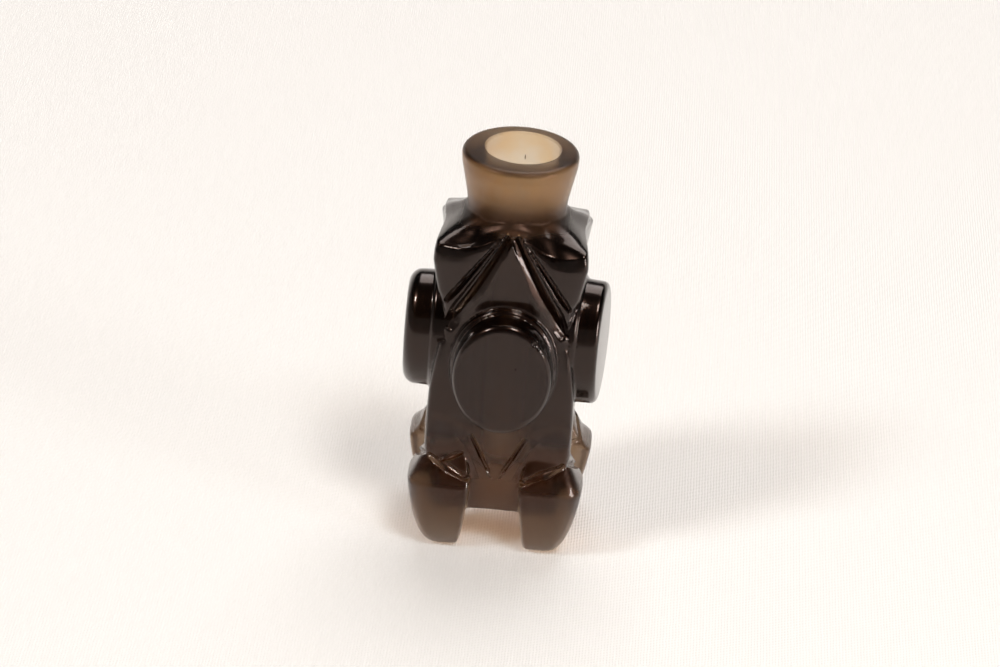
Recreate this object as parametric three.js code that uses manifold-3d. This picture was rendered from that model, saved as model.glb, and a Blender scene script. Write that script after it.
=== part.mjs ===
// Carved crystal bottle: one piece of smoky rock crystal, hollowed from the mouth.
// Millimetres, +Z up, origin on the ground under the middle of the body, front face towards -Y.
import * as THREE from "three";
import { mergeVertices } from "three/addons/utils/BufferGeometryUtils.js";
import Module from "manifold-3d";

const wasm = await Module();
wasm.setup();

// Heights above the ground
const undersideHeight = 7.3;   // air gap under the body, between the feet
const toeHeight = 14.2;        // edge where a foot turns from instep to toe
const ankleHeight = 16.8;      // top of the instep, where the leg begins
const shoulderHeight = 60.2;   // notch between two ears
const neckHeight = 12.8;       // from the notch to the mouth

// The square body: half widths measured from the axis
const earReach = 13.2;         // corner of the body at the ears
const waistReach = 11.0;       // corner beside the top of the bosses
const legReach = 12.9;         // corner above the ankles
const baseReach = 11.0;        // corner at the underside
const faceReach = 11.9;        // middle of a face beside the boss
const notchReach = 9.6;        // middle of a face at the notch between two ears
const cornerRounding = 2.4;
const earDrop = 1.5;           // how far an ear's rim hangs below the notch
const earCrown = 0.8;          // rounding of the ridge that runs out along an ear
const earDish = 1.3;           // hollow on both sides of that ridge
const shoulderTilt = 0.04;     // the shoulder falls a little towards the back

const depthShare = 0.90;       // the body is a little shallower than it is wide
const rootOverlap = 2;         // how far the neck and the bosses run on inside the body

// Neck and mouth
const neckBack = 1.2;          // the neck stands behind the middle of the body
const neckBaseRadius = 8.4;
const rimRadius = 10.2;
const lipRounding = 1.0;
const mouthRadius = 6.4;
const mouthBack = 0.8;         // the mouth was drilled a little off the middle
const mouthAside = 0.3;
const cavityRadius = 5.9;
const floorThickness = 7.0;    // crystal left between the cavity and the underside
const floorRounding = 4.0;

// Round bosses, one on each face
const frontBossHalfWidth = 8.7;
const frontBossHalfHeight = 10.7;
const sideBossHalfWidth = 9.2;
const leftBossHalfHeight = 10.7;
const rightBossHalfHeight = 11.5;
const frontBossHeight = 36.8;  // centres above the ground
const leftBossHeight = 37.9;
const rightBossHeight = 38.5;
const frontBossFace = 17.8;    // flat outer faces, from the axis
const leftBossFace = 17.8;
const rightBossFace = 17.0;
const bossDraft = 0.15;        // how much smaller the face is than the root
const bossEdgeRounding = 0.9;
const bossCollar = 0.6;        // raised ring round the root
const bossCollarFace = 13.2;
const rightBossTurn = 6.0;     // degrees: the right-hand boss was cut slightly askew

// Feet
const footInner = 4.2;         // flat sides that face the gap between two feet
const frontFootOuter = 15.3;
const backFootOuter = 16.2;
const footRounding = 3.4;
const soleInner = 6.2;
const soleOuter = 10.0;

// Carved lines on a face
const chevronStart = 2.8;      // start of the thin line, beside the notch
const chevronReach = 10.6;     // end of the thin line, near the corner
const chevronDrop = 11.2;
const chevronWidth = 1.0;
const chevronDepth = 0.8;
const deepCutReach = 10.8;     // the wide cut below it ends lower down, at the corner
const deepCutDrop = 17.2;
const deepCutWidth = 2.3;
const deepCutDepth = 1.5;
const lozengeFoot = 14.8;      // lowest point of the lozenge below the boss
const lozengeWidth = 0.7;
const lozengeDepth = 0.6;
const ankleWidth = 2.0;        // the scoop above an instep climbs towards the corner
const ankleDepth = 0.9;
const ankleRise = 4.6;

// How far the cutters stand out of the face; less at the ankles, to spare the insteps
const cutterClearance = 2;
const ankleClearance = 0.8;

// Fineness of the faceting
const octantSteps = 7;
const levelCount = 20;
const shoulderSteps = 5;
const roundSteps = 32;
const arcSteps = 3;

const up = new THREE.Vector3(0, 0, 1);
const mix = (a, b, t) => a + (b - a) * t;
const ease = (t) => t * t * (3 - 2 * t);
const easeBetween = (low, high, x) => ease(Math.min(1, Math.max(0, (x - low) / (high - low))));

// Skins a stack of closed rings, each a list of as many points, and closes both ends
function skin(rings) {
  const count = rings[0].length;
  const points = rings.flat();
  const index = [];
  for (let level = 0; level + 1 < rings.length; level++) {
    for (let i = 0; i < count; i++) {
      const a = level * count + i;
      const b = level * count + (i + 1) % count;
      index.push(a, b, b + count, a, b + count, a + count);
    }
  }
  for (const level of [0, rings.length - 1]) {
    const middle = new THREE.Vector3();
    rings[level].forEach((p) => middle.addScaledVector(p, 1 / count));
    for (let i = 0; i < count; i++) {
      const a = level * count + i;
      const b = level * count + (i + 1) % count;
      index.push(...(level === 0 ? [points.length, b, a] : [points.length, a, b]));
    }
    points.push(middle);
  }
  return new THREE.BufferGeometry().setFromPoints(points).setIndex(index);
}

// Six times the volume that a closed geometry holds, negative where its faces point in
function signedVolume(position, index) {
  const corner = [0, 1, 2].map(() => new THREE.Vector3());
  let volume = 0;
  for (let i = 0; i < index.length; i += 3) {
    corner.forEach((v, k) => v.fromArray(position, index[i + k] * 3));
    volume += corner[0].dot(corner[1].cross(corner[2]));
  }
  return volume;
}

// Turns a closed geometry into a solid that can be joined and cut
function solidOf(geometry) {
  const bare = geometry.clone();
  bare.deleteAttribute("normal");
  bare.deleteAttribute("uv");
  const merged = mergeVertices(bare, 1e-4);
  const vertProperties = Float32Array.from(merged.attributes.position.array);
  const triVerts = Uint32Array.from(merged.index.array);
  if (signedVolume(vertProperties, triVerts) < 0) triVerts.reverse();
  return new wasm.Manifold(new wasm.Mesh({ numProp: 3, vertProperties, triVerts }));
}

// One ring of the body: a square with rounded corners and faces that bow in or out.
// Each point also says how near it is to a corner, from 0 at a face's middle to 1.
function bodyRing(reach, face) {
  const flat = reach - cornerRounding;
  const flatShare = 0.6;
  const octant = [];
  for (let i = 0; i <= octantSteps; i++) {
    const t = i / octantSteps;
    if (t < flatShare) {
      octant.push([flat * t / flatShare, mix(face, reach, ease(t / flatShare))]);
    } else {
      const turn = (t - flatShare) / (1 - flatShare) * Math.PI / 4;
      octant.push([flat + cornerRounding * Math.sin(turn), flat + cornerRounding * Math.cos(turn)]);
    }
  }
  const mirrored = octant.slice(0, -1).reverse().map(([across, away]) => [away, across]);
  const quarter = octant.concat(mirrored.slice(0, -1));
  const ring = [];
  for (let side = 0; side < 4; side++) {
    for (const [across, away] of quarter) {
      const point = new THREE.Vector3(across, -away, 0).applyAxisAngle(up, side * Math.PI / 2);
      point.corner = Math.min(across, away) / Math.max(across, away);
      ring.push(point);
    }
  }
  return ring;
}

// The body from the underside to the ears' rim, then in over the shoulder to the neck
function bodyGeometry() {
  const span = shoulderHeight - undersideHeight;
  // Share of the way up, then how far the corner and the face's middle reach there
  const shape = new THREE.CatmullRomCurve3([
    [0, baseReach, baseReach - 0.8],
    [0.14, legReach - 0.4, faceReach - 0.3],
    [0.34, legReach, faceReach],
    [0.54, mix(waistReach, legReach, 0.4), faceReach],
    [0.70, waistReach, faceReach],
    [0.81, mix(waistReach, earReach, 0.7), faceReach],
    [0.92, earReach, faceReach - 0.7],
    [1, earReach - 0.2, notchReach],
  ].map((place) => new THREE.Vector3(...place)));
  const rings = [];
  for (let level = 0; level <= levelCount; level++) {
    const { x: share, y: corner, z: face } = shape.getPoint(level / levelCount);
    const ring = bodyRing(corner, face);
    const drop = earDrop * easeBetween(0.7, 1, share);
    for (const p of ring) {
      const tilt = shoulderTilt * p.y * easeBetween(0.6, 1, share);
      p.z = undersideHeight + span * share - drop * ease(p.corner) - tilt;
    }
    rings.push(ring);
  }
  const rim = rings[levelCount];
  for (let step = 1; step <= shoulderSteps; step++) {
    const t = step / shoulderSteps;
    rings.push(rim.map((p) => shoulderPoint(p, t)));
  }
  return skin(rings);
}

// A point of the shoulder, a share t of the way in from the ears' rim to the neck's foot
function shoulderPoint(rimPoint, t) {
  const foot = new THREE.Vector3(rimPoint.x, rimPoint.y, 0).setLength(neckBaseRadius - 0.3);
  foot.y += neckBack / depthShare;
  foot.z = shoulderHeight + 1.6 - shoulderTilt * foot.y;
  const point = new THREE.Vector3().lerpVectors(rimPoint, foot, t);
  const ridge = easeBetween(0.5, 1, rimPoint.corner);
  const dish = easeBetween(0, 0.4, rimPoint.corner) * (1 - ridge);
  point.z += Math.sin(Math.PI * Math.pow(t, 0.6)) * earCrown * ridge - Math.sin(Math.PI * t) * earDish * dish;
  return point;
}

// Turned neck: flares to the mouth and ends in a flat rim with a rounded lip
function neckGeometry() {
  const rim = shoulderHeight + neckHeight;
  const foot = shoulderHeight - rootOverlap;
  const flare = new THREE.SplineCurve([
    new THREE.Vector2(neckBaseRadius, shoulderHeight + 0.5),
    new THREE.Vector2(mix(neckBaseRadius, rimRadius, 0.22), shoulderHeight + neckHeight * 0.35),
    new THREE.Vector2(mix(neckBaseRadius, rimRadius, 0.6), shoulderHeight + neckHeight * 0.62),
    new THREE.Vector2(rimRadius, rim - lipRounding * 1.3),
  ]).getPoints(6);
  const profile = [new THREE.Vector2(0, foot), new THREE.Vector2(neckBaseRadius, foot), ...flare];
  for (let i = 1; i <= arcSteps; i++) {
    const turn = i / arcSteps * Math.PI / 2;
    const inset = lipRounding * (1 - Math.cos(turn));
    profile.push(new THREE.Vector2(rimRadius - inset, rim - lipRounding * (1 - Math.sin(turn))));
  }
  profile.push(new THREE.Vector2(0, rim));
  return new THREE.LatheGeometry(profile, roundSteps).rotateX(Math.PI / 2).translate(0, neckBack, 0);
}

// The drilled hollow: a cylinder that widens a little at the mouth, with a rounded floor
function hollowGeometry() {
  const rim = shoulderHeight + neckHeight;
  const floor = undersideHeight + floorThickness;
  const overrun = 2;
  const profile = [];
  for (let i = 0; i <= arcSteps; i++) {
    const turn = i / arcSteps * Math.PI / 2;
    const rise = floorRounding * (1 - Math.cos(turn));
    profile.push(new THREE.Vector2(cavityRadius * Math.sin(turn), floor + rise));
  }
  profile.push(
    new THREE.Vector2(cavityRadius, rim - neckHeight * 0.8),
    new THREE.Vector2(mouthRadius, rim),
    new THREE.Vector2(mouthRadius, rim + overrun),
    new THREE.Vector2(0, rim + overrun),
  );
  return new THREE.LatheGeometry(profile, roundSteps)
    .rotateX(Math.PI / 2)
    .translate(mouthAside, neckBack + mouthBack, 0);
}

// Oval boss with a collar at its root, turned round an axis that points towards -Y
function bossGeometry(halfWidth, halfHeight, face, height) {
  const root = notchReach - rootOverlap;
  const collar = halfWidth + bossCollar;
  const edge = halfWidth - bossDraft;
  const profile = [
    new THREE.Vector2(0, root),
    new THREE.Vector2(collar, root),
    new THREE.Vector2(collar, bossCollarFace - bossCollar),
    new THREE.Vector2(mix(halfWidth, collar, 0.5), bossCollarFace),
    new THREE.Vector2(halfWidth, bossCollarFace - 0.2),
  ];
  for (let i = 0; i <= arcSteps; i++) {
    const turn = i / arcSteps * Math.PI / 2;
    const inset = bossEdgeRounding * (1 - Math.cos(turn));
    profile.push(new THREE.Vector2(edge - inset, face - bossEdgeRounding * (1 - Math.sin(turn))));
  }
  profile.push(new THREE.Vector2(0, face));
  return new THREE.LatheGeometry(profile, roundSteps)
    .rotateX(Math.PI)
    .scale(1, 1, halfHeight / halfWidth)
    .translate(0, 0, height);
}

// A rounded square in a foot, from its two inner sides to its two outer ones.
// It rises towards the outer corner.
function footRing(z, inner, outer, rounding, rise) {
  const crisp = rounding * 0.3;
  const corners = [
    [outer, inner, crisp], [outer, outer, rounding], [inner, outer, crisp], [inner, inner, crisp],
  ];
  return corners.flatMap(([cornerX, cornerY, radius], quadrant) => {
    const centreX = cornerX === outer ? cornerX - radius : cornerX + radius;
    const centreY = cornerY === outer ? cornerY - radius : cornerY + radius;
    return Array.from({ length: arcSteps + 1 }, (_, i) => {
      const turn = (quadrant - 1 + i / arcSteps) * Math.PI / 2;
      const x = centreX + radius * Math.cos(turn);
      const y = centreY + radius * Math.sin(turn);
      const outwards = (x + y - 2 * inner) / (outer - inner) / 2;
      return new THREE.Vector3(x, y, z + rise * (outwards - 0.5));
    });
  });
}

// A hoof-like foot: tapers from the toe's edge to the sole, with a sloping instep above
function footGeometry(footOuter) {
  const instep = ankleHeight - toeHeight;
  const levels = [
    [0, 1, 0, 0],
    [0.06, 0.72, 0.16, 0],
    [0.24, 0.5, 0.47, 0],
    [0.55, 0.25, 0.8, 0],
    [0.85, 0.05, 0.98, 0],
    [0.97, 0, 1, 0.2],
  ].map(([share, innerShare, outerShare, rise]) => footRing(
    share * toeHeight, mix(footInner, soleInner, innerShare), mix(soleOuter, footOuter, outerShare),
    mix(footRounding * 0.5, footRounding, share), rise));
  levels.push(
    footRing(toeHeight + instep * 0.25, footInner + 0.1, mix(footOuter, legReach, 0.25), footRounding, 0.6),
    footRing(toeHeight + instep * 0.75, footInner + 0.4, mix(footOuter, legReach, 0.8), footRounding, 1.2),
    footRing(ankleHeight + 0.6, footInner + 1, legReach - 0.6, footRounding, 1.6),
  );
  return skin(levels);
}

// A place on a carved line: how far across and up the face it is, how far the face is from the
// axis there, and the cut's width and depth
const station = (across, height, face, width, depth) => ({ across, height, face, width, depth });

// A wedge-shaped cutter along a line on the front face, through its stations
function grooveGeometry(stations, clearance, lean) {
  const first = stations[0];
  const last = stations[stations.length - 1];
  const side = new THREE.Vector2(last.height - first.height, first.across - last.across).normalize();
  return skin(stations.map((s) => {
    const spread = s.width / 2 * (s.depth + clearance) / s.depth;
    const corner = (offset, away) => new THREE.Vector3(
      s.across + side.x * offset, -away, s.height + side.y * offset);
    return [
      corner(-spread, s.face + clearance),
      corner(spread, s.face + clearance),
      corner(lean * s.width, s.face - s.depth),
    ];
  }));
}

// The thin line under an ear, from the notch out towards the corner
function chevronGeometry() {
  const top = shoulderHeight - 0.7;
  const middle = mix(chevronStart, chevronReach, 0.65);
  const faceAtEnd = mix(waistReach, earReach, 0.6);
  return grooveGeometry([
    station(chevronStart, top, notchReach + 1, chevronWidth * 0.3, chevronDepth * 0.5),
    station(middle, top - chevronDrop * 0.65, faceReach + 0.2, chevronWidth, chevronDepth),
    station(chevronReach, top - chevronDrop, faceAtEnd, chevronWidth * 0.6, chevronDepth * 0.5),
  ], cutterClearance, 0);
}

// The wide cut along the lozenge's upper edge, which runs out over the corner
function deepCutGeometry() {
  const top = shoulderHeight - 0.4;
  const drop = (share) => top - deepCutDrop * share;
  return grooveGeometry([
    station(0.1, top, notchReach + 0.3, deepCutWidth * 0.4, deepCutDepth * 0.5),
    station(deepCutReach * 0.5, drop(0.5), faceReach, deepCutWidth, deepCutDepth),
    station(deepCutReach, drop(1), mix(waistReach, faceReach, 0.5), deepCutWidth, deepCutDepth),
    station(deepCutReach * 1.2, drop(1.2), waistReach - 0.4, deepCutWidth * 0.7, deepCutDepth * 0.8),
  ], cutterClearance, -0.15);
}

// The thin line along the lozenge's lower edge, from beside the boss to its point
function lozengeGeometry() {
  const start = frontBossHalfWidth - 0.3;
  const point = 0.4;
  const rise = (frontBossHeight - lozengeFoot) * 0.66;
  return grooveGeometry([
    station(start, lozengeFoot + rise, faceReach, lozengeWidth, lozengeDepth),
    station(mix(point, start, 0.5), lozengeFoot + rise * 0.45, faceReach, lozengeWidth, lozengeDepth),
    station(point, lozengeFoot, faceReach - 0.2, lozengeWidth * 0.5, lozengeDepth * 0.5),
  ], cutterClearance, 0);
}

// The scoop between a leg and its instep
function ankleGeometry() {
  const middle = mix(footInner, legReach, 0.45);
  const low = ankleHeight - ankleRise * 0.6;
  const high = ankleHeight + ankleRise * 0.4;
  return grooveGeometry([
    station(footInner - 0.6, low, faceReach - 0.3, ankleWidth * 0.5, ankleDepth * 0.5),
    station(middle, ankleHeight, legReach - 0.5, ankleWidth, ankleDepth),
    station(legReach - 0.6, high, legReach, ankleWidth * 0.4, ankleDepth * 0.3),
  ], ankleClearance, 0);
}

// Every cutter with its mirror image, turned to all four faces
function faceCutters() {
  const cutters = [];
  for (const geometry of [chevronGeometry(), deepCutGeometry(), lozengeGeometry(), ankleGeometry()]) {
    const right = solidOf(geometry);
    for (const half of [right, right.mirror([1, 0, 0])]) {
      for (let side = 0; side < 4; side++) cutters.push(half.rotate([0, 0, side * 90]));
    }
  }
  return cutters;
}

// The bosses in turn from the front: the side ones are larger, and the right one is askew
function bosses() {
  const front = solidOf(
    bossGeometry(frontBossHalfWidth, frontBossHalfHeight, frontBossFace, frontBossHeight));
  const right = solidOf(
    bossGeometry(sideBossHalfWidth, rightBossHalfHeight, rightBossFace, rightBossHeight));
  const left = solidOf(
    bossGeometry(sideBossHalfWidth, leftBossHalfHeight, leftBossFace, leftBossHeight));
  return [
    front,
    right.rotate([0, 0, 90 - rightBossTurn]),
    front.rotate([0, 0, 180]),
    left.rotate([0, 0, 270]),
  ];
}

function bottleSolid() {
  let body = solidOf(bodyGeometry());
  const outer = [backFootOuter, backFootOuter, frontFootOuter, frontFootOuter];
  outer.forEach((reach, side) => {
    body = body.add(solidOf(footGeometry(reach)).rotate([0, 0, side * 90]));
  });
  for (const cutter of faceCutters()) body = body.subtract(cutter);
  for (const boss of bosses()) body = body.add(boss);
  return body.scale([1, depthShare, 1]).add(solidOf(neckGeometry())).subtract(solidOf(hollowGeometry()));
}

function geometryOf(solid) {
  const mesh = solid.getMesh();
  const geometry = new THREE.BufferGeometry();
  geometry.setAttribute("position", new THREE.BufferAttribute(new Float32Array(mesh.vertProperties), 3));
  geometry.setIndex(new THREE.BufferAttribute(new Uint32Array(mesh.triVerts), 1));
  geometry.computeVertexNormals();
  return geometry;
}

const smokyCrystal = new THREE.MeshStandardMaterial({ color: 0x3a2e28, roughness: 0.08, metalness: 0 });
const bottle = new THREE.Mesh(geometryOf(bottleSolid()), smokyCrystal);
bottle.name = "carved_bottle";

const part = new THREE.Group();
part.add(bottle);
export default part;
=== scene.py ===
import math

import bmesh
import bpy
from mathutils import Matrix, Vector


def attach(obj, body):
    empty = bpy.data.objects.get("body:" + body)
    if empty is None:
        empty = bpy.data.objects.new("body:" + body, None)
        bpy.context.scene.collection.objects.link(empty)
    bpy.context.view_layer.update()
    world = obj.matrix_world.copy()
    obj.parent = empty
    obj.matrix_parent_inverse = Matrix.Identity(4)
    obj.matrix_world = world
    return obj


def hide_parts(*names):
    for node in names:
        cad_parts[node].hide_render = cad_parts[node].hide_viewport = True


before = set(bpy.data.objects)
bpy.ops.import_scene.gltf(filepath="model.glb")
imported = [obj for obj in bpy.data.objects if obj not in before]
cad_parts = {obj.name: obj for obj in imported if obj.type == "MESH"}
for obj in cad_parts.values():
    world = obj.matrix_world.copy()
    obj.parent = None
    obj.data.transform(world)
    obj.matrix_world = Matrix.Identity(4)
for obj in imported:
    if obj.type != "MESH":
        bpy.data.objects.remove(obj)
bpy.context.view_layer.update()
print("frame loaded")

# Everything is shaped in millimetres and brought to metres at the very end.
# The body, feet and bosses are shaped on a square plan first, then made shallower.
metre = 0.001
depthShare = 0.90


# Small helpers

def mix(a, b, t):
    return a + (b - a) * t


def ease(t):
    t = min(1, max(0, t))
    return t * t * (3 - 2 * t)


def deselectAll():
    active = bpy.context.view_layer.objects.active
    if active and active.mode == "EDIT":
        bpy.ops.object.mode_set(mode="OBJECT")
    bpy.ops.object.select_all(action="DESELECT")


def pick(piece):                        # the only selected object, and the active one
    deselectAll()
    piece.select_set(True)
    bpy.context.view_layer.objects.active = piece


def named(name):                        # names what the last primitive made, and opens it for editing
    piece = bpy.context.active_object
    piece.name = name
    bpy.ops.object.mode_set(mode="EDIT")
    bpy.ops.mesh.select_mode(type="VERT")
    bpy.ops.mesh.select_all(action="SELECT")
    return piece


def closeEdit(piece):
    bpy.ops.mesh.select_all(action="SELECT")
    bpy.ops.mesh.remove_doubles(threshold=0.001)
    bpy.ops.mesh.normals_make_consistent(inside=False)
    bpy.ops.object.mode_set(mode="OBJECT")
    return piece


def selectPoints(piece, rule):
    points = bmesh.from_edit_mesh(piece.data)
    for point in points.verts:
        point.select = bool(rule(point.co))
    points.select_flush_mode()
    bmesh.update_edit_mesh(piece.data)


def selectedPoints(piece):
    points = bmesh.from_edit_mesh(piece.data)
    return [point.index for point in points.verts if point.select]


def move(x=0.0, y=0.0, z=0.0):
    bpy.ops.transform.translate(value=(x, y, z))


def scaleAbout(x, y, z, about=(0, 0, 0)):
    bpy.ops.transform.resize(value=(x, y, z), center_override=about)


def extrude(x=0.0, y=0.0, z=0.0):
    bpy.ops.mesh.extrude_region_move(TRANSFORM_OT_translate={"value": (x, y, z)})


def applyModifier(piece, kind, **values):
    pick(piece)
    modifier = piece.modifiers.new(kind.title(), kind)
    for key, value in values.items():
        setattr(modifier, key, value)
    bpy.ops.object.modifier_apply(modifier=modifier.name)


def smoothOut(piece, levels):
    applyModifier(piece, "SUBSURF", levels=levels, render_levels=levels)


def boolean(piece, other, operation):
    applyModifier(piece, "BOOLEAN", object=other, operation=operation, solver="MANIFOLD")
    bpy.data.objects.remove(other)


def copyOf(piece, name, turn=0.0, mirrored=False):     # turned about the bottle's axis, in degrees
    twin = piece.copy()
    twin.data = piece.data.copy()
    twin.name = name
    bpy.context.collection.objects.link(twin)
    pick(twin)
    twin.matrix_world = Matrix.Rotation(math.radians(turn), 4, "Z") @ twin.matrix_world
    if mirrored:
        twin.matrix_world = twin.matrix_world @ Matrix.Scale(-1, 4, (1, 0, 0))
    bpy.ops.object.transform_apply(location=True, rotation=True, scale=True)
    if mirrored:
        bpy.ops.object.mode_set(mode="EDIT")
        bpy.ops.mesh.select_all(action="SELECT")
        bpy.ops.mesh.normals_make_consistent(inside=False)
        bpy.ops.object.mode_set(mode="OBJECT")
    return twin


# The square body with its four ears

body = {
    "cuts": 7,                          # points on a side, between its two corners
    "levels": [                         # height, reach at a face's middle, reach at a corner
        (7.3, 10.1, 10.8),
        (9.0, 10.5, 11.5),
        (12.0, 11.1, 12.2),
        (15.5, 11.6, 12.7),
        (20.5, 11.9, 13.0),
        (26.0, 12.0, 13.0),
        (31.5, 11.9, 12.8),
        (36.5, 11.9, 12.2),
        (41.0, 11.9, 11.3),
        (44.5, 11.9, 10.8),
        (47.5, 11.9, 11.4),
        (50.5, 11.9, 12.4),
        (53.5, 11.8, 13.0),
    ],
    # reaches and heights from the front face's middle, round a corner, to the side face's middle
    "shoulder": [
        ((11.9, 12.0, 12.4, 12.9, 13.6, 13.2, 12.7, 12.1, 11.9),
         (57.2, 57.1, 56.5, 56.0, 56.4, 56.8, 57.0, 57.2, 57.2)),
        ((11.8, 11.9, 12.2, 12.5, 13.4, 13.2, 12.6, 12.1, 11.9),
         (60.0, 59.6, 58.2, 57.4, 58.2, 58.3, 58.2, 58.2, 58.2)),
        ((11.4, 11.5, 11.7, 12.0, 13.0, 13.0, 12.7, 12.4, 12.2),
         (61.2, 60.7, 59.3, 58.5, 59.5, 59.6, 59.5, 59.5, 59.5)),
        ((10.4, 10.4, 10.5, 10.7, 11.5, 11.7, 11.6, 11.3, 11.1),
         (61.6, 61.3, 60.3, 59.7, 60.0, 60.3, 60.3, 60.3, 60.3)),
        ((9.3, 9.3, 9.1, 9.0, 9.4, 10.0, 10.2, 10.2, 10.0),
         (62.0, 61.8, 61.4, 60.8, 60.7, 61.0, 61.0, 61.0, 61.0)),
        ((8.7, 8.6, 8.1, 7.5, 7.0, 8.0, 8.6, 8.9, 8.9),
         (62.7, 62.5, 61.9, 61.4, 61.8, 61.9, 61.8, 61.7, 61.7)),
        ((7.9, 7.7, 7.1, 6.3, 5.5, 6.3, 7.2, 7.7, 7.9),
         (63.1, 62.9, 62.5, 62.3, 62.4, 62.4, 62.2, 62.0, 62.0)),
    ],
    "rimRing": 2,                       # which of those rings is the rim
    "rimCrease": 0.2,
    "tilt": 1.2,                        # the shoulder falls towards the back, in degrees
    "tiltFrom": 55.0,
    "tiltPivot": (0, 0, 60),
    "smoothing": 3,
    "undersideCrease": 0.8,
    # the front shoulders differ: ranges of x and y, the height above which they sink, and how far
    "shoulderDents": [
        ((-8.5, -4.2), (-11.0, -8.8), 58.9, 0.8),
        ((4.2, 9.6), (-13.0, -9.6), 57.0, 0.6),
        ((4.2, 9.6), (-9.6, -8.5), 59.0, 0.3),
    ],
    "backEarsFrom": (7.0, 57.5),        # beyond this reach and above this height
    "backEarShare": 0.96,
    "backEarDrop": 0.9,
}


def selectOnly(piece, chosen):
    points = bmesh.from_edit_mesh(piece.data)
    for point in points.verts:
        point.select = point.index in chosen
    points.select_flush_mode()
    bmesh.update_edit_mesh(piece.data)


def shapeRing(piece, reaches, lifts, before):     # pulls the open ring's points, kind by kind
    chosen = set(selectedPoints(piece))
    corner = len(reaches) // 2
    for kind in range(len(reaches)):
        points = bmesh.from_edit_mesh(piece.data)
        alike = set()
        for point in points.verts:
            x, y = abs(point.co.x), abs(point.co.y)
            here = round(corner * x / y) if y > x else len(reaches) - 1 - round(corner * y / x)
            if point.index in chosen and here == kind:
                alike.add(point.index)
        selectOnly(piece, alike)
        scale = reaches[kind] / before[kind]
        scaleAbout(scale, scale, 1)
        move(z=lifts[kind])
    selectOnly(piece, chosen)


def makeBody():
    corner = body["cuts"] // 2 + 1
    kinds = 2 * corner + 1
    rings = []
    for height, face, edge in body["levels"]:
        reaches = [mix(face, edge, ease(1 - abs(kind - corner) / corner)) for kind in range(kinds)]
        rings.append((reaches, [height] * kinds))
    rim = len(rings) + body["rimRing"]
    rings += body["shoulder"]
    deselectAll()
    size = body["levels"][0][2]
    bpy.ops.mesh.primitive_plane_add(size=2 * size)
    piece = named("body")
    bpy.ops.mesh.delete(type="ONLY_FACE")
    bpy.ops.mesh.select_all(action="SELECT")
    bpy.ops.mesh.subdivide(number_cuts=body["cuts"])
    reachesBefore, heightsBefore = [size] * kinds, [0] * kinds
    for ring, (reaches, heights) in enumerate(rings):
        if ring:
            bpy.ops.mesh.extrude_edges_move()
        lifts = [now - before for now, before in zip(heights, heightsBefore)]
        shapeRing(piece, reaches, lifts, reachesBefore)
        reachesBefore, heightsBefore = reaches, heights
        if ring == 0:
            bpy.ops.mesh.edge_face_add()
            bpy.ops.transform.edge_crease(value=body["undersideCrease"])
        elif ring == rim:
            bpy.ops.transform.edge_crease(value=body["rimCrease"])
    bpy.ops.mesh.edge_face_add()
    away, above = body["backEarsFrom"]
    selectPoints(piece, lambda p: p.y > away and abs(p.x) > away and p.z > above)
    scaleAbout(body["backEarShare"], body["backEarShare"], 1)
    move(z=-body["backEarDrop"])
    for across, back, above, drop in body["shoulderDents"]:
        selectPoints(piece, lambda p: across[0] < p.x < across[1] and back[0] < p.y < back[1] and p.z > above)
        move(z=-drop)
    selectPoints(piece, lambda p: p.z > body["tiltFrom"])
    bpy.ops.transform.rotate(value=math.radians(body["tilt"]), orient_axis="X",
                             center_override=body["tiltPivot"])
    closeEdit(piece)
    smoothOut(piece, body["smoothing"])
    return piece


# Feet

foot = {
    "cornerRounding": 1.5,              # at the sole; it grows with the foot
    "innerRounding": 0.5,
    # height, inner side, outer side, lift of the outer corner, crease
    "levels": [
        (0.0, 6.2, 10.6, 0.0, 0.0),
        (0.8, 5.7, 12.0, 0.0, 0.0),
        (3.4, 5.2, 13.4, 0.0, 0.0),
        (7.8, 4.7, 14.7, 0.0, 0.0),
        (11.6, 4.3, 15.3, 0.0, 0.0),
        (13.3, 4.2, 15.5, 0.2, 0.7),
        (14.6, 4.3, 14.7, 0.6, 0.0),
        (16.0, 4.6, 13.5, 1.2, 0.0),
        (17.6, 5.4, 12.2, 1.6, 0.0),
    ],
    "frontReach": 15.3,                 # as the levels above have it
    "backReach": 16.2,
    "stretchFrom": 10.0,                # what lies further out grows with the reach
    "stretchBelow": 14.5,
    "cornerGap": 3.0,
    "near": 0.01,
    "smoothing": 2,
}


def makeFoot(outerReach, name):
    start, near = foot["stretchFrom"], foot["near"]
    stretch = (outerReach - start) / (foot["frontReach"] - start)
    height, inner, outer = foot["levels"][0][:3]
    deselectAll()
    bpy.ops.mesh.primitive_plane_add(size=outer - inner)
    piece = named(name)
    middle = (inner + outer) / 2
    move(middle, middle, height)
    selectPoints(piece, lambda p: p.x > middle and p.y > middle)
    bpy.ops.mesh.bevel(offset=foot["cornerRounding"], segments=4, affect="VERTICES")
    selectPoints(piece, lambda p: min(p.x, p.y) < inner + near and abs(p.x - p.y) > foot["cornerGap"]
                 or max(p.x, p.y) < inner + near)
    bpy.ops.mesh.bevel(offset=foot["innerRounding"], segments=2, affect="VERTICES")
    bpy.ops.mesh.select_all(action="SELECT")
    for nextHeight, nextInner, nextOuter, nextLift, crease in foot["levels"][1:]:
        if nextOuter > start and nextHeight < foot["stretchBelow"]:
            nextOuter = start + (nextOuter - start) * stretch
        extrude(z=nextHeight - height)
        grow = (nextOuter - nextInner) / (outer - inner)
        scaleAbout(grow, grow, 1, (inner, inner, nextHeight))
        move(nextInner - inner, nextInner - inner)
        chosen = set(selectedPoints(piece))
        height, inner, outer = nextHeight, nextInner, nextOuter
        if crease:
            bpy.ops.transform.edge_crease(value=crease)
        if nextLift:
            liftOuter(piece, chosen, inner, outer, nextLift)
    closeEdit(piece)
    smoothOut(piece, foot["smoothing"])
    return piece


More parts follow.
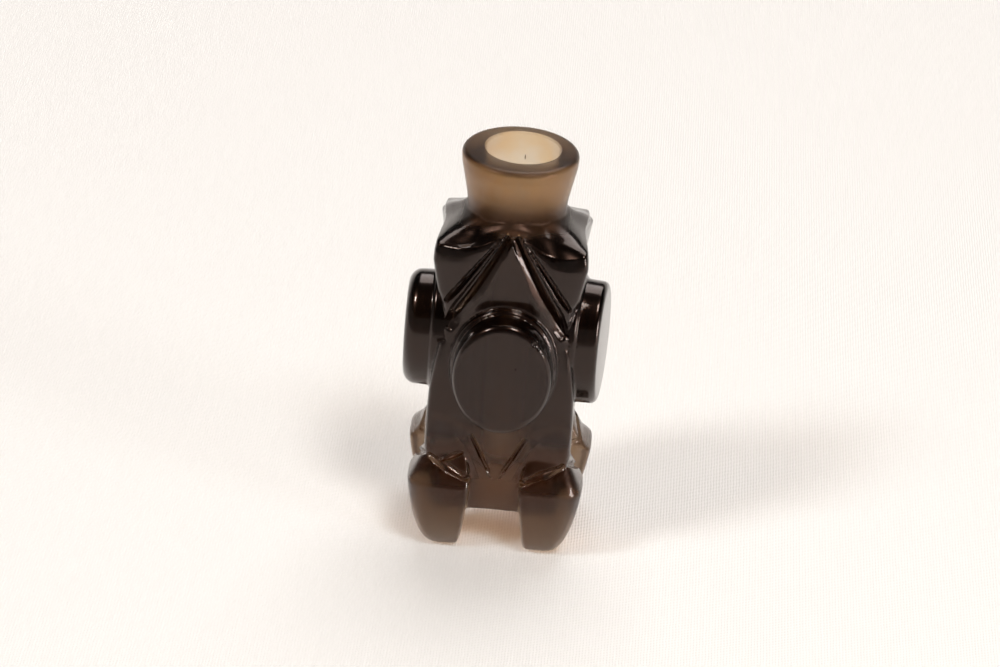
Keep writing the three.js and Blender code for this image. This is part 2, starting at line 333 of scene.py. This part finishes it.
def liftOuter(piece, chosen, inner, outer, lift):     # the instep slopes up from the inner corner
    points = bmesh.from_edit_mesh(piece.data)
    for point in points.verts:
        if point.index in chosen:
            share = (point.co.x + point.co.y - 2 * inner) / (2 * (outer - inner))
            point.co.z += lift * share
    bmesh.update_edit_mesh(piece.data)


def makeFeet():
    feet = []
    for place, (reach, turn) in enumerate([(foot["frontReach"], 270), (foot["frontReach"], 180),
                                           (foot["backReach"], 90), (foot["backReach"], 0)]):
        corner = makeFoot(reach, "footShape")
        feet.append(copyOf(corner, f"foot{place}", turn))
        bpy.data.objects.remove(corner)
    return feet


# Carved lines: a cutter's section is run along stations on a face

carving = {
    "clearance": 2.0,
    "sections": 9,                      # from the cutter's start to its end
    "rayFrom": 40.0,
    "noFace": 11.0,                     # the distance taken where no face is met
    # across, height, width, depth; the distance from the axis is measured on the body
    "thinLine": [(2.5, 60.6, 0.4, 0.5), (6.4, 55.0, 1.1, 1.4),
                 (9.7, 50.0, 1.35, 1.8), (10.8, 48.3, 0.9, 1.2)],
    "deepCut": [(0.5, 61.4, 1.6, 1.8), (5.3, 51.8, 3.3, 3.0),
                (8.5, 46.3, 3.2, 2.8), (10.4, 43.0, 2.0, 1.2)],
    "lowerLine": [(4.9, 23.4, 0.6, 0.8), (2.7, 18.8, 0.9, 1.3), (0.6, 14.5, 0.5, 0.6)],
    "outerLine": [(7.6, 24.2, 0.8, 0.06), (5.0, 19.2, 0.9, 0.1), (2.4, 14.2, 0.8, 0.06)],
    "sideDrop": 3.0,                    # the side faces' upper lines start lower
    "ankle": [(4.2, 15.0, 0.9, 0.6), (8.2, 17.0, 1.6, 1.1), (12.0, 18.8, 0.9, 0.6)],
    # sections from the inner side round the bottom, in shares of width and depth
    "plain": [(-0.5, 0.0), (-0.1, 1.0), (0.15, 1.0), (0.5, 0.0)],
    "stepped": [(-0.5, 0.0), (-0.1, 0.34), (0.1, 1.0), (0.34, 1.0), (0.5, 0.0)],
}


def faceAt(piece, across, height):      # how far the front surface is from the axis there
    start = Vector((across, -carving["rayFrom"], height))
    hit, place = piece.ray_cast(start, Vector((0, 1, 0)))[:2]
    return -place.y if hit else carving["noFace"]


def stationsAlong(stations):            # evenly spaced sections between the given ones
    count = carving["sections"]
    spans = len(stations) - 1
    made = []
    for i in range(count):
        place = i / (count - 1) * spans
        k = min(int(place), spans - 1)
        made.append([mix(a, b, place - k) for a, b in zip(stations[k], stations[k + 1])])
    return made


def makeGroove(piece, name, shape="plain"):
    stations = stationsAlong(carving[name])
    first, last = stations[0], stations[-1]
    slant = math.atan2(last[0] - first[0], last[1] - first[1])
    side = Vector((-math.cos(slant), 0, math.sin(slant)))
    outline = [(-0.5, None)] + carving[shape] + [(0.5, None)]

    def section(across, height, width, depth):
        face = faceAt(piece, across, height)
        middle = Vector((across, 0, height))
        made = []
        for aside, share in outline:
            inward = -carving["clearance"] if share is None else share * depth
            made.append(middle + side * aside * width + Vector((0, inward - face, 0)))
        return made

    deselectAll()
    bpy.ops.mesh.primitive_circle_add(vertices=len(outline), radius=1, fill_type="NGON")
    cutter = named(name)
    for index, station in enumerate(stations):
        if index:
            bpy.ops.mesh.extrude_region_move()
        points = bmesh.from_edit_mesh(cutter.data)
        for point, place in zip([p for p in points.verts if p.select], section(*station)):
            point.co = place
        bmesh.update_edit_mesh(cutter.data)
    return closeEdit(cutter)


# Round bosses

boss = {
    "root": 7.6,
    "collar": 0.6,
    "collarFace": 13.2,
    "draft": 0.15,
    "segments": 96,
    "roundingSteps": 8,
    # shares of the collar: its slope's width and height, its ledge, and the groove inside it
    "slope": (0.40, 0.70),
    "ledge": 0.35,
    "groove": 0.25,
    "grooveDepth": 0.35,
    "faceLift": 0.30,
    # half width, half height, outer face, centre's height, turn about the axis, rounding
    "front": (8.7, 10.7, 17.8, 36.8, 0, 1.2),
    "right": (9.2, 11.5, 17.0, 38.5, 84, 1.0),
    "back": (8.7, 10.7, 17.8, 36.8, 180, 1.2),
    "left": (9.2, 10.7, 17.8, 37.9, 270, 2.2),
}


def makeBoss(name):
    halfWidth, halfHeight, face, height, turn, rounding = boss[name]
    collar = boss["collar"]
    deselectAll()
    bpy.ops.mesh.primitive_circle_add(vertices=boss["segments"], radius=halfWidth + collar, fill_type="NGON")
    piece = named(name + "Boss")
    move(z=boss["root"])
    extrude(z=boss["collarFace"] - collar - boss["root"])
    bpy.ops.mesh.select_mode(type="FACE")
    bpy.ops.mesh.inset(thickness=collar * boss["slope"][0], depth=0)
    move(z=collar * boss["slope"][1])
    bpy.ops.mesh.inset(thickness=collar * boss["ledge"], depth=0)
    bpy.ops.mesh.inset(thickness=collar * boss["groove"], depth=0)
    move(z=-boss["grooveDepth"])
    extrude(z=face - boss["collarFace"] + boss["grooveDepth"] + collar * boss["faceLift"])
    shrink = (halfWidth - boss["draft"]) / halfWidth
    scaleAbout(shrink, shrink, 1)
    bpy.ops.mesh.bevel(offset=rounding, segments=boss["roundingSteps"], affect="EDGES")
    closeEdit(piece)
    piece.scale = (1, halfHeight / halfWidth, 1)
    piece.rotation_euler.x = math.pi / 2
    piece.location.z = height
    pick(piece)
    bpy.ops.object.transform_apply(location=True, rotation=True, scale=True)
    turned = copyOf(piece, name + "BossTurned", turn)
    bpy.data.objects.remove(piece)
    return turned


# Neck, and the hollow drilled down from the mouth

neck = {
    "back": 1.2,
    "levels": [(58.2, 8.4), (60.7, 8.4), (62.7, 8.55), (64.7, 8.8), (68.2, 9.5), (70.6, 10.0), (73.0, 10.2)],
    "lip": 1.0,
    "lipSteps": 6,
    "segments": 96,
    "mouthPlace": (0.3, 2.0),
    "mouthRadius": 6.4,
    "boreRadius": 5.9,
    "boreFloor": 14.3,
    "floorRounding": 4.0,
    "floorSteps": 8,
    "boreSegments": 128,
    "mouthDepth": 10.0,                 # the bore widens over this depth
    "mouthEdge": 0.3,
    "past": 0.02,                       # the cutter's cone starts this far above the rim
    "above": 2.0,
}


def makeNeck():
    height, radius = neck["levels"][0]
    deselectAll()
    bpy.ops.mesh.primitive_circle_add(vertices=neck["segments"], radius=radius, fill_type="NGON")
    piece = named("neck")
    move(z=height)
    for nextHeight, nextRadius in neck["levels"][1:]:
        extrude(z=nextHeight - height)
        grow = nextRadius / radius
        scaleAbout(grow, grow, 1)
        height, radius = nextHeight, nextRadius
    bpy.ops.mesh.bevel(offset=neck["lip"], segments=neck["lipSteps"], affect="EDGES")
    closeEdit(piece)
    piece.location.y = neck["back"]
    pick(piece)
    bpy.ops.object.transform_apply(location=True, rotation=True, scale=True)
    return piece


def makeBore():
    top = neck["levels"][-1][0]
    floor, rounding = neck["boreFloor"], neck["floorRounding"]
    radius = neck["boreRadius"]
    levels = []
    for step in range(neck["floorSteps"] + 1):
        turn = step / neck["floorSteps"] * math.pi / 2
        levels.append((floor + rounding * (1 - math.cos(turn)), radius - rounding * (1 - math.sin(turn))))
    mouth, edge, above = neck["mouthRadius"], neck["mouthEdge"], neck["above"]
    levels += [(top - neck["mouthDepth"], radius), (top - edge, mouth),
               (top + neck["past"], mouth + edge), (top + above, mouth + above)]
    deselectAll()
    height, radius = levels[0]
    bpy.ops.mesh.primitive_circle_add(vertices=neck["boreSegments"], radius=radius, fill_type="NGON")
    piece = named("bore")
    move(z=height)
    for nextHeight, nextRadius in levels[1:]:
        extrude(z=nextHeight - height)
        grow = nextRadius / radius
        scaleAbout(grow, grow, 1)
        height, radius = nextHeight, nextRadius
    closeEdit(piece)
    piece.location = (*neck["mouthPlace"], 0)
    pick(piece)
    bpy.ops.object.transform_apply(location=True, rotation=True, scale=True)
    return piece


# Small chips and pits

chips = {
    # x, y, z and size of each
    "places": [
        (5.3, -15.85, 44.5, 0.70), (6.1, -15.80, 43.7, 0.60), (4.6, -15.90, 45.0, 0.40),
        (6.7, -15.85, 42.8, 0.38), (5.8, -15.45, 44.9, 0.50), (2.3, -16.1, 39.4, 0.22),
        (-2.0, -10.55, 60.4, 0.34), (-1.3, -10.45, 60.9, 0.28), (-0.4, -10.5, 60.7, 0.36),
        (0.6, -10.5, 61.0, 0.30), (1.4, -10.5, 60.6, 0.36), (2.2, -10.55, 60.3, 0.30),
        (8.0, 8.2, 60.1, 0.45), (-16.9, 4.6, 44.9, 0.50),
    ],
    "flatness": 0.6,
    "turns": (1.0, 2.0),                # each chip is turned this much more, in radians
    # the scoop on the left leg: place, reaches, and its turn
    "scoop": ((-7.9, -11.15, 18.6), (2.4, 0.9, 0.7), 27),
}


def cutChips(piece):
    for place, (x, y, z, size) in enumerate(chips["places"]):
        deselectAll()
        bpy.ops.mesh.primitive_ico_sphere_add(subdivisions=2, radius=size)
        chip = named("chip")
        scaleAbout(1, chips["flatness"], 1)
        for axis, turn in zip("ZX", chips["turns"]):
            bpy.ops.transform.rotate(value=place * turn, orient_axis=axis, center_override=(0, 0, 0))
        move(x, y, z)
        boolean(piece, closeEdit(chip), "DIFFERENCE")
    place, reach, turn = chips["scoop"]
    deselectAll()
    bpy.ops.mesh.primitive_uv_sphere_add(segments=32, ring_count=16, radius=1)
    scoop = named("scoop")
    scaleAbout(*reach)
    bpy.ops.transform.rotate(value=math.radians(turn), orient_axis="Y", center_override=(0, 0, 0))
    move(*place)
    boolean(piece, closeEdit(scoop), "DIFFERENCE")


# Putting the bottle together

finish = {
    "voxel": 0.22,
    "smoothFactor": 0.5,
    "smoothing": 2,
    "triangles": 170000,
    "smoothAngle": 40.0,
}


def makeBottle():
    bottle = makeBody()
    print("body shaped:", len(bottle.data.polygons), "faces")
    for part in makeFeet():
        boolean(bottle, part, "UNION")
    print("feet joined")
    cutters = [(makeGroove(bottle, "thinLine"), carving["sideDrop"]),
               (makeGroove(bottle, "deepCut", "stepped"), carving["sideDrop"]),
               (makeGroove(bottle, "lowerLine"), 0),
               (makeGroove(bottle, "outerLine"), 0),
               (makeGroove(bottle, "ankle"), 0)]
    for cutter, sideDrop in cutters:
        for turn in (0, 180, 90, 270):
            cutter.location.z = -sideDrop if turn in (90, 270) else 0
            for mirrored in (False, True):
                boolean(bottle, copyOf(cutter, "cutter", turn, mirrored), "DIFFERENCE")
        bpy.data.objects.remove(cutter)
    print("lines carved")
    for name in ("front", "right", "back", "left"):
        boolean(bottle, makeBoss(name), "UNION")
    bottle.scale.y = depthShare
    pick(bottle)
    bpy.ops.object.transform_apply(location=True, rotation=True, scale=True)
    boolean(bottle, makeNeck(), "UNION")
    print("bosses and neck joined:", len(bottle.data.polygons), "faces")
    applyModifier(bottle, "REMESH", mode="VOXEL", voxel_size=finish["voxel"])
    print("remeshed:", len(bottle.data.polygons), "faces")
    applyModifier(bottle, "SMOOTH", factor=finish["smoothFactor"], iterations=finish["smoothing"])
    share = finish["triangles"] / (2 * len(bottle.data.polygons))
    if share < 1:
        applyModifier(bottle, "DECIMATE", ratio=share)
    boolean(bottle, makeBore(), "DIFFERENCE")
    cutChips(bottle)
    bottle.data.materials.clear()
    bottle.data.materials.append(crystalMaterial())
    bottle.name = "crystalBottle"
    bottle.data.name = "crystalBottle"
    pick(bottle)
    bpy.ops.object.mode_set(mode="EDIT")
    bpy.ops.mesh.select_all(action="SELECT")
    scaleAbout(metre, metre, metre)
    bpy.ops.object.mode_set(mode="OBJECT")
    bpy.ops.object.shade_smooth_by_angle(angle=math.radians(finish["smoothAngle"]))
    bottle.data.calc_loop_triangles()
    print("bottle finished:", len(bottle.data.loop_triangles), "triangles")
    return bottle


# Materials

crystal = {
    "ior": 1.544,
    "polish": 0.22,
    "coat": 0.46,
    "coatRoughness": 0.02,
    "satin": 0.33,
    "hoofPolish": 0.36,
    "hooves": (0.0175, 0.0085),
    "matt": 0.6,
    "sheen": (0.50, 0.29, 0.22),
    "absorption": (0.5875, 0.4375, 0.275),
    "density": 285,
    "dark": (0.022, 0.016, 0.012),
    "smokeAndShadeHeights": (0.0138, 0.0275),      # it grows darker between these heights: denser smoke in the stone, and painted shade on the upper body and in its cuts
    "neckShade": (0.46, 0.37, 0.30),
    "neckShading": (0.0660, 0.0630),
    "shadowTint": (0.9, 0.9, 0.9),
    "neckTint": (1, 0.93, 0.80),
    "amber": (1, 0.82, 0.56),
    "footTint": (0.80, 0.83, 0.86),
    "neckFoot": 0.0615,
    "neckFootBlur": 0.0004,
    "bore": (0.0003, 0.0020, 0.0067),   # its axis and a radius just outside its wall
    "boreFloor": 0.0135,
    "boreBlur": 0.0001,
    "patchScale": 130,                  # amber patches in the neck
    "patchEdges": (0.42, 0.62),
    "noiseDetail": 3,
    "grainScale": 3000,
    "grain": 0.00001,
    "fleckColour": (0.02, 0.01, 0.005),
    "fleckEdge": 0.6,                   # the share of its reach where a fleck starts to fade
    # place and reach of the dark flecks, in metres
    "flecks": [((0.0006, 0.0079, 0.0684), (0.00016, 0.0006, 0.0007)),
               ((-0.0070, -0.0100, 0.0560), (0.00012, 0.0006, 0.0009))],
}


def addNode(tree, kind, place, **values):
    node = tree.nodes.new(kind)
    node.location = place
    for key, value in values.items():
        setattr(node, key, value)
    return node


def addMap(tree, place, source, low, high):     # 0 at low and 1 at high
    node = addNode(tree, "ShaderNodeMapRange", place)
    node.inputs["From Min"].default_value = low
    node.inputs["From Max"].default_value = high
    tree.links.new(source, node.inputs["Value"])
    return node.outputs["Result"]


def addMix(tree, place, factor, first, second):  # mixes two values, or two colours
    coloured = isinstance(second, tuple) or getattr(second, "type", "") == "RGBA"
    node = addNode(tree, "ShaderNodeMix", place, data_type="RGBA" if coloured else "FLOAT")
    sockets = (6, 7) if coloured else (2, 3)
    for socket, source in zip(sockets, (first, second)):
        if isinstance(source, bpy.types.NodeSocket):
            tree.links.new(source, node.inputs[socket])
        else:
            node.inputs[socket].default_value = (*source, 1) if coloured else source
    tree.links.new(factor, node.inputs[0])
    return node.outputs[2 if coloured else 0]


def addShare(tree, place, first, second):        # a mask times another, or times a value
    node = addNode(tree, "ShaderNodeMath", place, operation="MULTIPLY")
    tree.links.new(first, node.inputs[0])
    if isinstance(second, bpy.types.NodeSocket):
        tree.links.new(second, node.inputs[1])
    else:
        node.inputs[1].default_value = second
    return node.outputs[0]


def fleckGroup():                       # 1 inside a small spot, 0 outside it
    group = bpy.data.node_groups.new("fleck", "ShaderNodeTree")
    for name in ("Vector", "Place", "Reach"):
        group.interface.new_socket(name, in_out="INPUT", socket_type="NodeSocketVector")
    group.interface.new_socket("Mask", in_out="OUTPUT", socket_type="NodeSocketFloat")
    given = addNode(group, "NodeGroupInput", (-600, 0))
    away = addNode(group, "ShaderNodeVectorMath", (-400, 0), operation="SUBTRACT")
    group.links.new(given.outputs["Vector"], away.inputs[0])
    group.links.new(given.outputs["Place"], away.inputs[1])
    share = addNode(group, "ShaderNodeVectorMath", (-220, 0), operation="DIVIDE")
    group.links.new(away.outputs[0], share.inputs[0])
    group.links.new(given.outputs["Reach"], share.inputs[1])
    length = addNode(group, "ShaderNodeVectorMath", (-40, 0), operation="LENGTH")
    group.links.new(share.outputs[0], length.inputs[0])
    result = addMap(group, (140, 0), length.outputs["Value"], 1, crystal["fleckEdge"])
    output = addNode(group, "NodeGroupOutput", (320, 0))
    group.links.new(result, output.inputs["Mask"])
    return group


def wearGroup():                        # slow patches, and grain as a height
    group = bpy.data.node_groups.new("wear", "ShaderNodeTree")
    group.interface.new_socket("Vector", in_out="INPUT", socket_type="NodeSocketVector")
    for name in ("Patches", "Grain"):
        group.interface.new_socket(name, in_out="OUTPUT", socket_type="NodeSocketFloat")
    given = addNode(group, "NodeGroupInput", (-600, 0))
    output = addNode(group, "NodeGroupOutput", (300, 0))
    for name, scale, edges, y in (("Patches", crystal["patchScale"], crystal["patchEdges"], 200),
                                  ("Grain", crystal["grainScale"], (0, 1), -200)):
        noise = addNode(group, "ShaderNodeTexNoise", (-400, y))
        noise.inputs["Scale"].default_value = scale
        noise.inputs["Detail"].default_value = crystal["noiseDetail"]
        group.links.new(given.outputs["Vector"], noise.inputs["Vector"])
        group.links.new(addMap(group, (-150, y), noise.outputs["Fac"], *edges), output.inputs[name])
    return group


def crystalMaterial():
    material = bpy.data.materials.new("smokyCrystal")
    material.use_nodes = True
    tree = material.node_tree
    tree.nodes.clear()
    output = addNode(tree, "ShaderNodeOutputMaterial", (1100, 0))
    shader = addNode(tree, "ShaderNodeBsdfPrincipled", (700, 0))
    shader.inputs["Transmission Weight"].default_value = 1
    shader.inputs["IOR"].default_value = crystal["ior"]
    shader.inputs["Specular Tint"].default_value = (*crystal["sheen"], 1)
    shader.inputs["Coat Roughness"].default_value = crystal["coatRoughness"]
    place = addNode(tree, "ShaderNodeTexCoord", (-1100, 0)).outputs["Object"]
    axes = addNode(tree, "ShaderNodeSeparateXYZ", (-900, 0))
    tree.links.new(place, axes.inputs[0])
    neckFoot, blur = crystal["neckFoot"], crystal["neckFootBlur"]
    neckMask = addMap(tree, (-600, 200), axes.outputs["Z"], neckFoot - blur, neckFoot + blur)
    axisX, axisY, radius = crystal["bore"]
    around = addNode(tree, "ShaderNodeVectorMath", (-900, -250), operation="SUBTRACT")
    around.inputs[1].default_value = (axisX, axisY, 0)
    tree.links.new(place, around.inputs[0])
    flat = addNode(tree, "ShaderNodeVectorMath", (-720, -250), operation="MULTIPLY")
    flat.inputs[1].default_value = (1, 1, 0)
    tree.links.new(around.outputs[0], flat.inputs[0])
    away = addNode(tree, "ShaderNodeVectorMath", (-540, -250), operation="LENGTH")
    tree.links.new(flat.outputs[0], away.inputs[0])
    near = addMap(tree, (-360, -250), away.outputs["Value"], radius, radius - crystal["boreBlur"])
    above = addNode(tree, "ShaderNodeMath", (-360, -450), operation="GREATER_THAN")
    above.inputs[1].default_value = crystal["boreFloor"]
    tree.links.new(axes.outputs["Z"], above.inputs[0])
    bore = addShare(tree, (-160, -300), near, above.outputs[0])
    wear = addNode(tree, "ShaderNodeGroup", (-600, 500), node_tree=wearGroup())
    tree.links.new(place, wear.inputs["Vector"])
    warm = addNode(tree, "ShaderNodeMath", (-160, 100), operation="MAXIMUM")
    tree.links.new(neckMask, warm.inputs[0])
    tree.links.new(bore, warm.inputs[1])
    ambers = addMix(tree, (-340, 500), wear.outputs["Patches"], crystal["neckTint"], crystal["amber"])
    low = addMap(tree, (-340, 700), axes.outputs["Z"], *crystal["neckShading"])
    low = addShare(tree, (-180, 700), low, neckMask)
    ambers = addMix(tree, (-160, 500), low, ambers, crystal["neckShade"])
    # painted shade and smoke: the stone's colour darkens from the feet upwards, which blackens the upper body
    # and its cuts
    deep = addMap(tree, (-340, 300), axes.outputs["Z"], *crystal["smokeAndShadeHeights"])
    smokeAndShade = addMix(tree, (-160, 300), deep, crystal["footTint"], crystal["dark"])
    colour = addMix(tree, (60, 400), warm.outputs[0], smokeAndShade, ambers)
    spot = fleckGroup()
    for index, (middle, reach) in enumerate(crystal["flecks"]):
        fleck = addNode(tree, "ShaderNodeGroup", (60, 650 + 150 * index), node_tree=spot)
        fleck.inputs["Place"].default_value = middle
        fleck.inputs["Reach"].default_value = reach
        tree.links.new(place, fleck.inputs["Vector"])
        colour = addMix(tree, (260 + 180 * index, 500), fleck.outputs["Mask"], colour, crystal["fleckColour"])
    tree.links.new(colour, shader.inputs["Base Color"])
    hooves = addMap(tree, (60, 250), axes.outputs["Z"], *crystal["hooves"])
    rough = addMix(tree, (240, 200), hooves, crystal["polish"], crystal["hoofPolish"])
    rough = addMix(tree, (240, 100), neckMask, rough, crystal["satin"])
    rough = addMix(tree, (420, 50), bore, rough, crystal["matt"])
    tree.links.new(rough, shader.inputs["Roughness"])
    coat = addMap(tree, (420, -150), neckMask, 1, 0)
    tree.links.new(addShare(tree, (560, -200), coat, crystal["coat"]), shader.inputs["Coat Weight"])
    bump = addNode(tree, "ShaderNodeBump", (420, -400))
    bump.inputs["Distance"].default_value = crystal["grain"]
    grain = addShare(tree, (260, -450), wear.outputs["Grain"], neckMask)
    tree.links.new(grain, bump.inputs["Height"])
    tree.links.new(bump.outputs["Normal"], shader.inputs["Normal"])
    letLightThrough(tree, shader, output)
    return material


def letLightThrough(tree, shader, output):       # to the floor, darkened by the smoke in the stone
    rays = addNode(tree, "ShaderNodeLightPath", (700, 500))
    clear = addNode(tree, "ShaderNodeBsdfTransparent", (700, 150))
    clear.inputs["Color"].default_value = (*crystal["shadowTint"], 1)
    surface = addNode(tree, "ShaderNodeMixShader", (920, 100))
    tree.links.new(rays.outputs["Is Shadow Ray"], surface.inputs[0])
    tree.links.new(shader.outputs[0], surface.inputs[1])
    tree.links.new(clear.outputs[0], surface.inputs[2])
    tree.links.new(surface.outputs[0], output.inputs["Surface"])
    inside = addNode(tree, "ShaderNodeVolumeAbsorption", (700, -500))
    inside.inputs["Color"].default_value = (*crystal["absorption"], 1)
    inside.inputs["Density"].default_value = crystal["density"]
    tree.links.new(inside.outputs[0], output.inputs["Volume"])


# A pale cloth that runs to the back; towards the sides and the front its colour darkens as painted shade,
# where the light falls off

cloth = {
    "colour": (0.91, 0.88, 0.855),
    "paintedShadeColour": (0.20, 0.195, 0.19),
    "middle": (0, 0.35, 0),
    "reach": (0.62, 0.80, 4),
    "fade": (0.75, 1.35),
    "roughness": 0.9,
    "threads": 600,
    "unevenness": 1.5,
    "relief": 0.00005,
}


def clothMaterial():
    material = bpy.data.materials.new("paleCloth")
    material.use_nodes = True
    tree = material.node_tree
    shader = tree.nodes["Principled BSDF"]
    shader.inputs["Roughness"].default_value = cloth["roughness"]
    place = addNode(tree, "ShaderNodeTexCoord", (-1000, 0))
    offset = addNode(tree, "ShaderNodeVectorMath", (-800, 0), operation="SUBTRACT")
    offset.inputs[1].default_value = cloth["middle"]
    tree.links.new(place.outputs["Object"], offset.inputs[0])
    shrunk = addNode(tree, "ShaderNodeVectorMath", (-620, 0), operation="DIVIDE")
    shrunk.inputs[1].default_value = cloth["reach"]
    tree.links.new(offset.outputs[0], shrunk.inputs[0])
    away = addNode(tree, "ShaderNodeVectorMath", (-440, 0), operation="LENGTH")
    tree.links.new(shrunk.outputs[0], away.inputs[0])
    fade = addNode(tree, "ShaderNodeMapRange", (-260, 0), interpolation_type="SMOOTHSTEP")
    fade.inputs["From Min"].default_value, fade.inputs["From Max"].default_value = cloth["fade"]
    tree.links.new(away.outputs["Value"], fade.inputs["Value"])
    # painted shade: away from the middle the cloth's colour fades to a dark grey
    colour = addMix(tree, (-60, 0), fade.outputs["Result"], cloth["colour"], cloth["paintedShadeColour"])
    tree.links.new(colour, shader.inputs["Base Color"])
    weave = addNode(tree, "ShaderNodeMath", (-200, -350), operation="ADD")
    for turn, direction in enumerate("XY"):
        wave = addNode(tree, "ShaderNodeTexWave", (-440, -250 - 250 * turn), bands_direction=direction)
        wave.inputs["Scale"].default_value = cloth["threads"]
        wave.inputs["Distortion"].default_value = cloth["unevenness"]
        tree.links.new(place.outputs["Object"], wave.inputs["Vector"])
        tree.links.new(wave.outputs["Fac"], weave.inputs[turn])
    bump = addNode(tree, "ShaderNodeBump", (-20, -350))
    bump.inputs["Distance"].default_value = cloth["relief"]
    tree.links.new(weave.outputs[0], bump.inputs["Height"])
    tree.links.new(bump.outputs["Normal"], shader.inputs["Normal"])
    return material


# Studio

studio = {
    "floorRadius": 0.60,
    "coveRadius": 0.85,
    "coveHeight": 0.35,
    "coveSteps": 8,
    "floorSegments": 96,
    "world": (0.02, 0.02, 0.02),
    "aimHeight": 0.03,
    # azimuth from the front, towards the right; elevation; distance; size; power; colour
    "softboxes": [
        (-57, 45, 1.3, 0.23, 6.9, (1, 0.98, 0.95)),
        (33, 59, 1.3, 0.30, 7.2, (1, 0.97, 0.93)),
        (62, 8, 0.62, 0.16, 1.4, (1, 0.98, 0.97)),
        (170, 60, 1.4, 0.95, 10.5, (1, 0.98, 0.96)),
    ],
}


def makeStudio():
    deselectAll()
    bpy.ops.mesh.primitive_circle_add(vertices=studio["floorSegments"], radius=studio["floorRadius"],
                                      fill_type="NGON")
    cove = named("pale_floor")
    steps = studio["coveSteps"]
    radius = studio["floorRadius"]
    height = 0
    for step in range(1, steps + 1):
        turn = step / steps * math.pi / 2
        nextRadius = mix(studio["floorRadius"], studio["coveRadius"], math.sin(turn))
        nextHeight = studio["coveHeight"] * (1 - math.cos(turn))
        if step == 1:
            bpy.ops.mesh.select_mode(type="EDGE")
            bpy.ops.mesh.region_to_loop()
        bpy.ops.mesh.extrude_edges_move(TRANSFORM_OT_translate={"value": (0, 0, nextHeight - height)})
        grow = nextRadius / radius
        scaleAbout(grow, grow, 1)
        radius, height = nextRadius, nextHeight
    bpy.ops.object.mode_set(mode="OBJECT")
    bpy.ops.object.shade_smooth()
    cove.data.materials.append(clothMaterial())
    world = bpy.data.worlds.new("studioAir")
    world.use_nodes = True
    world.node_tree.nodes["Background"].inputs["Color"].default_value = (*studio["world"], 1)
    bpy.context.scene.world = world
    for index, (azimuth, elevation, distance, size, power, colour) in enumerate(studio["softboxes"]):
        light = bpy.data.lights.new(f"softbox{index}", "AREA")
        light.shape = "SQUARE"
        light.size = size
        light.energy = power
        light.color = colour
        lamp = bpy.data.objects.new(f"softbox{index}", light)
        bpy.context.collection.objects.link(lamp)
        a, e = math.radians(azimuth), math.radians(elevation)
        aim = Vector((math.sin(a) * math.cos(e), -math.cos(a) * math.cos(e), math.sin(e)))
        lamp.location = aim * distance + Vector((0, 0, studio["aimHeight"]))
        lamp.rotation_euler = aim.to_track_quat("Z", "Y").to_euler()


# Camera at the photograph's angle

view = {
    "target": Vector((0, 0, 0.037)),
    "distance": 0.700,
    "elevation": 27.6,
    "azimuth": 1.5,
    "roll": 4.3,
    "focalPixels": 3990,
    "targetPixel": (507, 338),
    "imageSize": (1000, 667),
    "sensor": 36.0,
    "clip": (0.01, 20),
}


def makeCamera():
    a, e = math.radians(view["azimuth"]), math.radians(view["elevation"])
    back = Vector((math.sin(a) * math.cos(e), -math.cos(a) * math.cos(e), math.sin(e)))
    camera = bpy.data.cameras.new("photoCamera")
    camera.sensor_width = view["sensor"]
    camera.lens = view["focalPixels"] / view["imageSize"][0] * view["sensor"]
    camera.clip_start, camera.clip_end = view["clip"]
    lens = bpy.data.objects.new("photoCamera", camera)
    bpy.context.collection.objects.link(lens)
    lens.location = view["target"] + back * view["distance"]
    turned = back.to_track_quat("Z", "Y").to_matrix() @ Matrix.Rotation(math.radians(view["roll"]), 3, "Z")
    offX = view["targetPixel"][0] - view["imageSize"][0] / 2
    offY = view["targetPixel"][1] - view["imageSize"][1] / 2
    aim = Matrix.Rotation(math.atan(offX / view["focalPixels"]), 3, "Y") \
        @ Matrix.Rotation(math.atan(offY / view["focalPixels"]), 3, "X")
    lens.rotation_euler = (turned @ aim).to_euler()
    bpy.context.scene.camera = lens


makeCamera()
makeStudio()
bottle = makeBottle()
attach(bottle, "root")
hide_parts("carved_bottle")
bpy.context.scene.view_settings.view_transform = "Standard"
